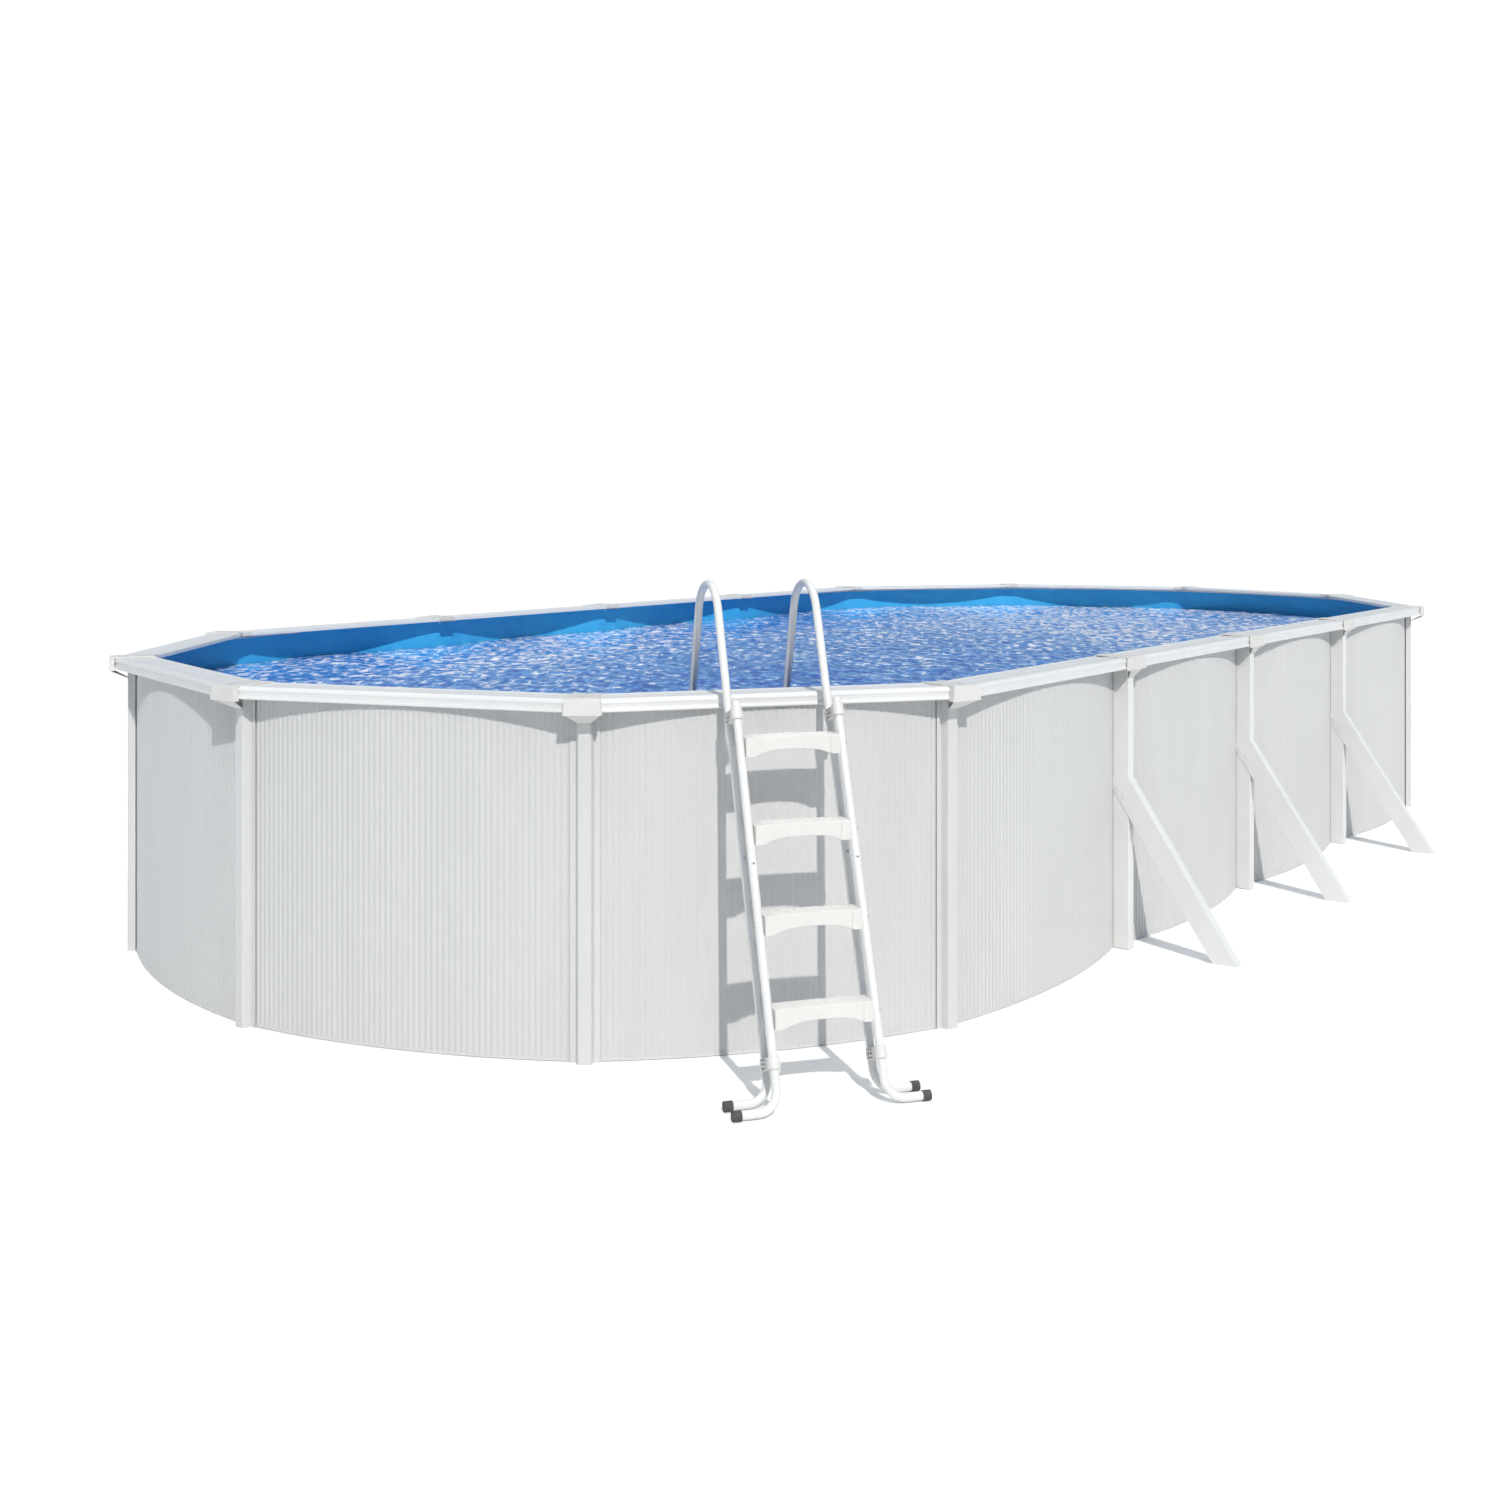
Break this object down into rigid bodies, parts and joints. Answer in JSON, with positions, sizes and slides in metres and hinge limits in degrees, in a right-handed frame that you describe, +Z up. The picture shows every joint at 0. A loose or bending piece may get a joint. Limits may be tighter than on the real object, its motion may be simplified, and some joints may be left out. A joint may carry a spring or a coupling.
{
  "type": "above-ground pool with safety ladder",
  "caption": "Elongated-oval above-ground swimming pool with bowed steel wall, coping rails, side struts, liner and a lift-off A-frame ladder with clip-off outer steps.",
  "frame": {"origin": "on the ground under the middle of the pool's overall box", "axes": "+X along the pool's long axis away from the ladder end, +Y across it away from the ladder's side, +Z up"},
  "size_m": [9.402, 5.5228, 1.7203],
  "materials": {
    "wall": "satin, fine upright corrugation",
    "liner": "soft sheet, slightly glossy",
    "track": "satin",
    "strap": "galvanised",
    "steel": "plated",
    "rail": "satin white",
    "cap": "moulded, warm white",
    "rubber": "dull warm grey",
    "tube": "white powder coat",
    "tread": "moulded white, ribbed top",
    "connector": "moulded white",
    "lever": "moulded white",
    "post": "satin"
  },
  "bodies": {
    "pool": {"wall_sheet": "wall", "liner_wall": "liner", "liner_floor": "liner", "bottom_track": "track", "top_track": "track", "floor_straps": "strap", "near_end_posts": "post", "far_end_posts": "post", "strut_post_front_near": "post", "strut_post_front_middle": "post", "strut_post_front_far": "post", "strut_post_back_near": "post", "strut_post_back_middle": "post", "strut_post_back_far": "post", "strut_front_near": "post", "strut_front_middle": "post", "strut_front_far": "post", "strut_back_near": "post", "strut_back_middle": "post", "strut_back_far": "post", "strut_bolts": "steel", "coping_rails_near_end": "rail", "coping_rails_far_end": "rail", "coping_rails_front": "rail", "coping_rails_back": "rail", "corner_caps_near_end": "cap", "corner_caps_far_end": "cap", "side_caps_front": "cap", "side_caps_back": "cap", "post_top_plates": "steel", "cap_screws": "steel", "corner_gussets": "cap", "side_gussets": "cap"},
    "ladder_frame": {"ladder_side_tube_left": "tube", "ladder_side_tube_right": "tube", "inner_tread_1": "tread", "inner_tread_2": "tread", "inner_tread_3": "tread", "inner_tread_4": "tread", "frame_foot_cups": "rubber", "inner_tread_bolts": "steel"},
    "step_section": {"step_tube_left": "tube", "step_tube_right": "tube", "outer_tread_1": "tread", "outer_tread_2": "tread", "outer_tread_3": "tread", "outer_tread_4": "tread", "connector_upper_left": "connector", "connector_upper_right": "connector", "connector_lower_left": "connector", "connector_lower_right": "connector", "step_foot_cups": "rubber", "outer_tread_bolts": "steel", "lever_pins": "steel", "tube_plugs": "connector"},
    "latch_lever_upper_left": {"latch_lever_upper_left": "lever"},
    "latch_lever_upper_right": {"latch_lever_upper_right": "lever"},
    "latch_lever_lower_left": {"latch_lever_lower_left": "lever"},
    "latch_lever_lower_right": {"latch_lever_lower_right": "lever"}
  },
  "joints": [
    {"name": "ladder_lift", "type": "slide", "parent": "pool", "child": "ladder_frame", "axis": [0, 0, 1], "range_m": [0, 1.45]},
    {"name": "step_section_release", "type": "slide", "parent": "ladder_frame", "child": "step_section", "axis": [-0.5513, -0.7587, 0.347], "range_m": [0, 0.35]},
    {"name": "latch_upper_left", "type": "hinge", "parent": "step_section", "child": "latch_lever_upper_left", "pos_m": [-3.8866, -1.84181, 1.25775], "axis": [-0.809, 0.5878, 0], "range_deg": [0, 60], "stiffness_Nm_per_rad": 0.05, "springref_deg": -11.46},
    {"name": "latch_upper_right", "type": "hinge", "parent": "step_section", "child": "latch_lever_upper_right", "pos_m": [-3.57918, -2.06517, 1.25775], "axis": [-0.809, 0.5878, 0], "range_deg": [0, 60], "stiffness_Nm_per_rad": 0.05, "springref_deg": -11.46},
    {"name": "latch_lower_left", "type": "hinge", "parent": "step_section", "child": "latch_lever_lower_left", "pos_m": [-4.1267, -2.17228, 0.15375], "axis": [-0.809, 0.5878, 0], "range_deg": [0, 60], "stiffness_Nm_per_rad": 0.05, "springref_deg": -11.46},
    {"name": "latch_lower_right", "type": "hinge", "parent": "step_section", "child": "latch_lever_lower_right", "pos_m": [-3.81928, -2.39564, 0.15375], "axis": [-0.809, 0.5878, 0], "range_deg": [0, 60], "stiffness_Nm_per_rad": 0.05, "springref_deg": -11.46}
  ]
}
